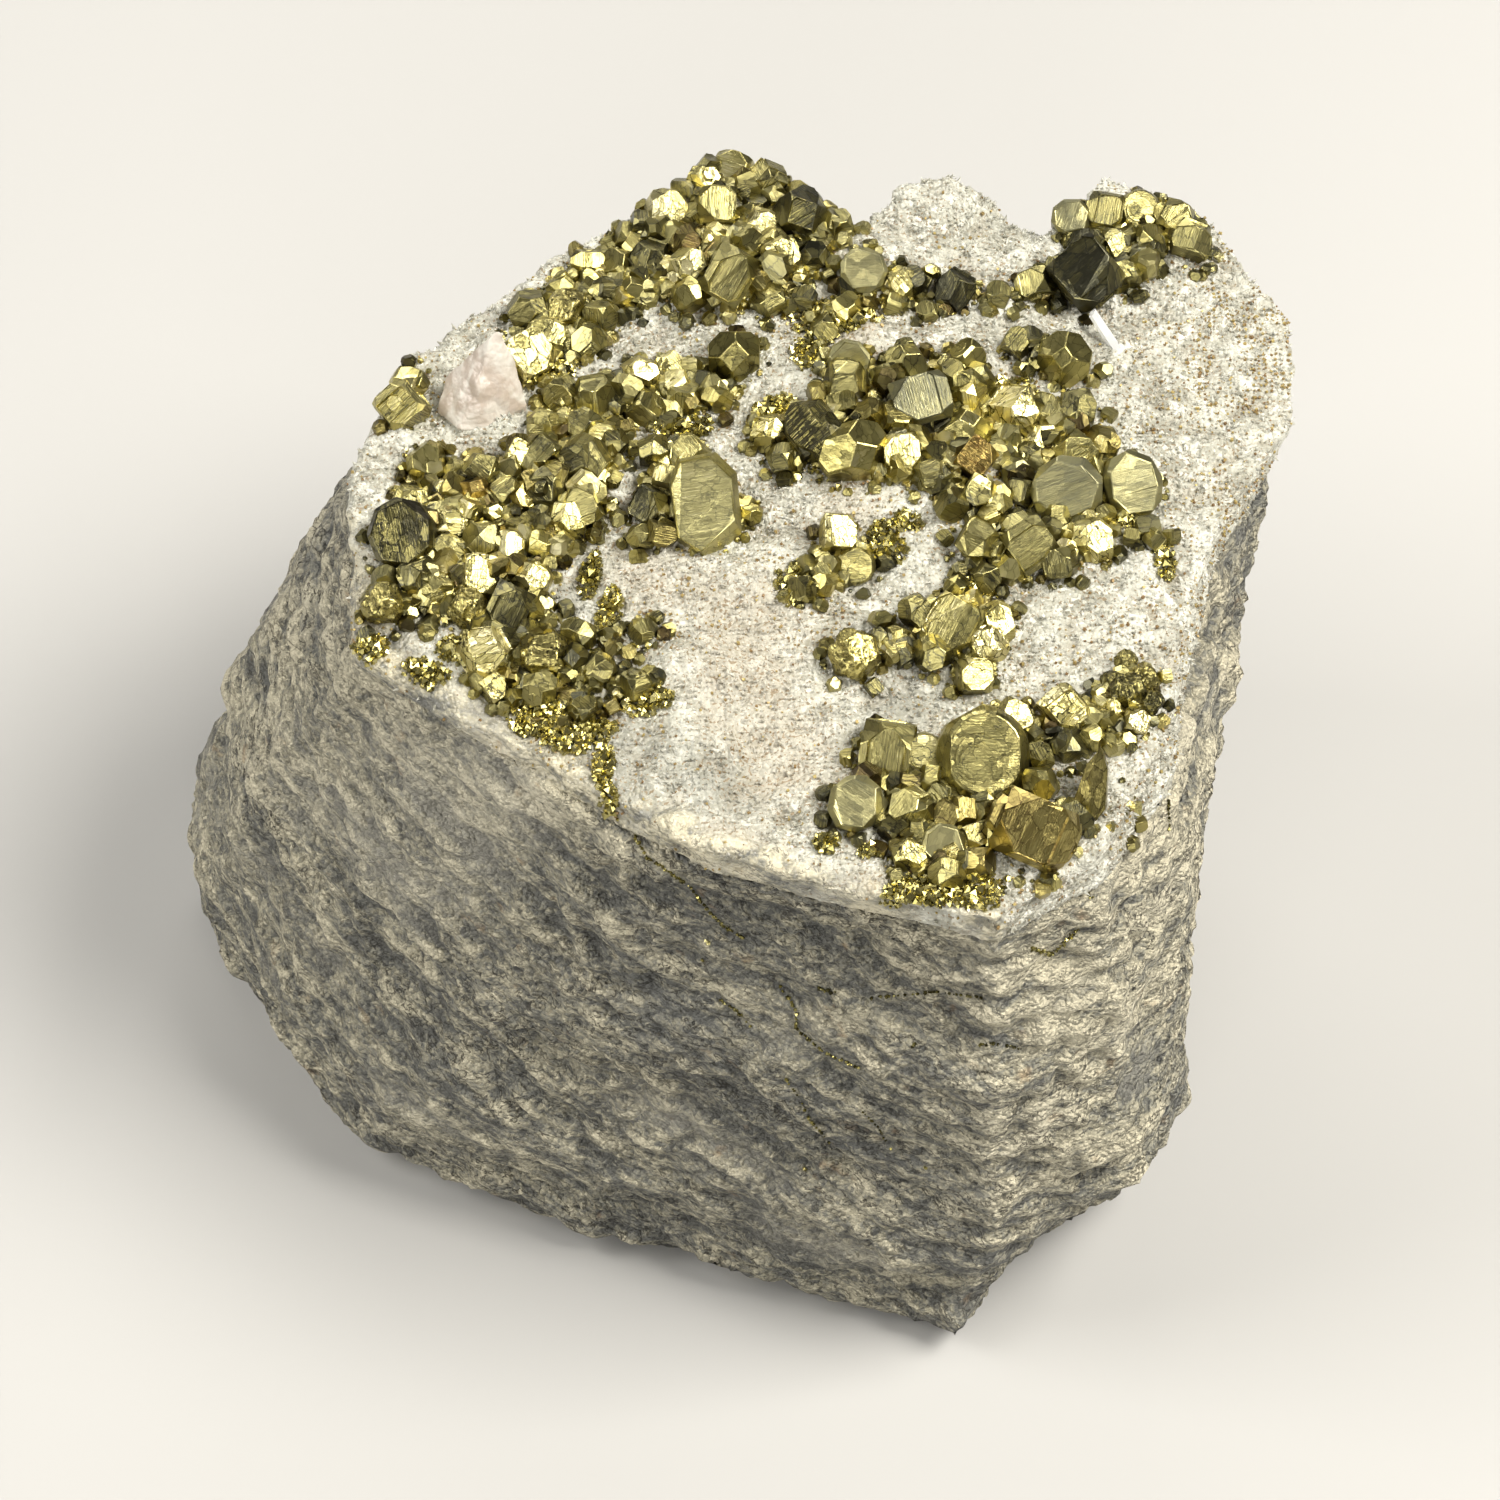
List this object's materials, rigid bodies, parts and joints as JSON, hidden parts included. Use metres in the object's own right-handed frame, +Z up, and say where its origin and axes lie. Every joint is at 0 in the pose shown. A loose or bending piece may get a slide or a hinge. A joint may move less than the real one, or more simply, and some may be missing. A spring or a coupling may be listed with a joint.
{
  "type": "pyrite crystal specimen",
  "caption": "Broken block of banded grey rock with a flat base, capped by a white quartz crust with groups of brassy pyrite crystals on it.",
  "frame": {"origin": "under the middle of the specimen, on the surface that it stands on", "axes": "+Z up; +X to the right and +Y away as the specimen is seen from the front, with the long front face of bare rock towards -Y"},
  "size_m": [0.097, 0.0868, 0.0636],
  "materials": {
    "gneiss": "rough broken surface",
    "white_quartz": "sugary fine crystals",
    "pyrite": "natural metallic faces, striated",
    "milky_quartz": "glassy, milky",
    "clear_quartz": "glassy, clear"
  },
  "bodies": {
    "root": {"host_rock": "gneiss", "quartz_crust": "white_quartz", "pyrite_crest": "pyrite", "pyrite_flank": "pyrite", "pyrite_rim": "pyrite", "pyrite_striated_crystal": "pyrite", "pyrite_centre": "pyrite", "pyrite_back_row": "pyrite", "pyrite_wedge": "pyrite", "pyrite_corner": "pyrite", "pyrite_island": "pyrite", "pyrite_front": "pyrite", "pyrite_pair": "pyrite", "quartz_point": "milky_quartz", "quartz_needle": "clear_quartz"}
  },
  "joints": []
}
